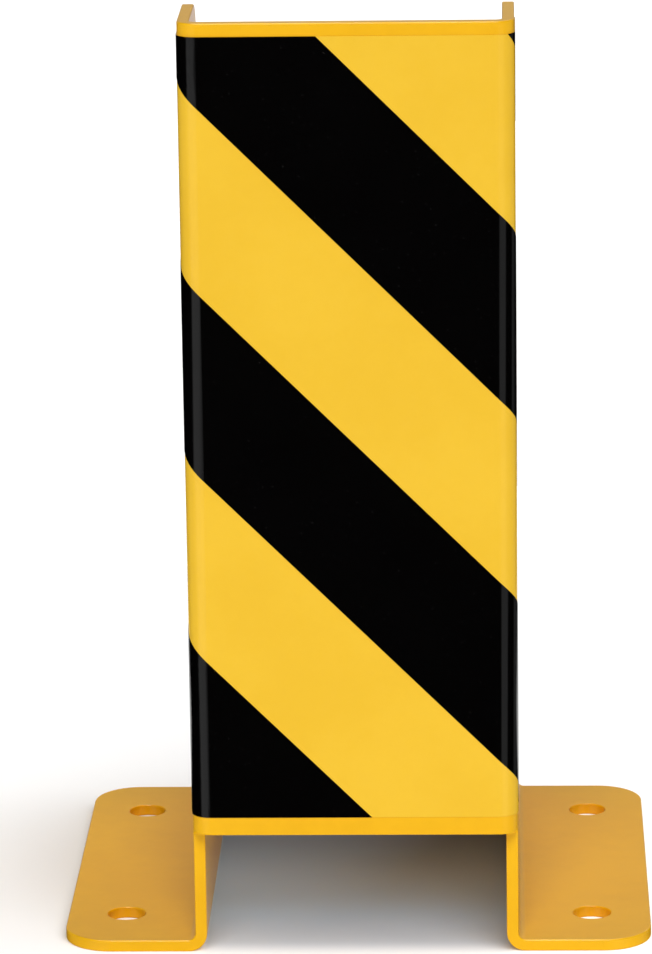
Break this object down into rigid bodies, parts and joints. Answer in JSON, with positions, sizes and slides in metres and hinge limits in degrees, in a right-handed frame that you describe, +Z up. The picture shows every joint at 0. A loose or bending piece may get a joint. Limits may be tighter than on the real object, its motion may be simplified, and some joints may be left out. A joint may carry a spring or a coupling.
{
  "type": "rack column guard",
  "caption": "U-shaped floor-bolted steel guard for the foot of a storage rack column, with a black and yellow hazard film wrapped round its front.",
  "frame": {"origin": "on the floor, in the middle of the guard's overall footprint", "axes": "+Z up, -Y towards the traffic that the closed front web faces, +Y towards the column, +X to the right of someone facing the web"},
  "size_m": [0.25, 0.2184, 0.4],
  "materials": {
    "powder_coat": "signal yellow powder coat on steel, semi-gloss with a fine orange peel",
    "yellow_film": "yellow self-adhesive vinyl, satin gloss",
    "black_film": "black self-adhesive vinyl, glossy"
  },
  "bodies": {
    "root": {"folded_guard": "powder_coat", "hazard_film": "yellow_film", "black_band_1": "black_film", "black_band_2": "black_film", "black_band_3": "black_film", "black_band_4": "black_film"}
  },
  "joints": []
}
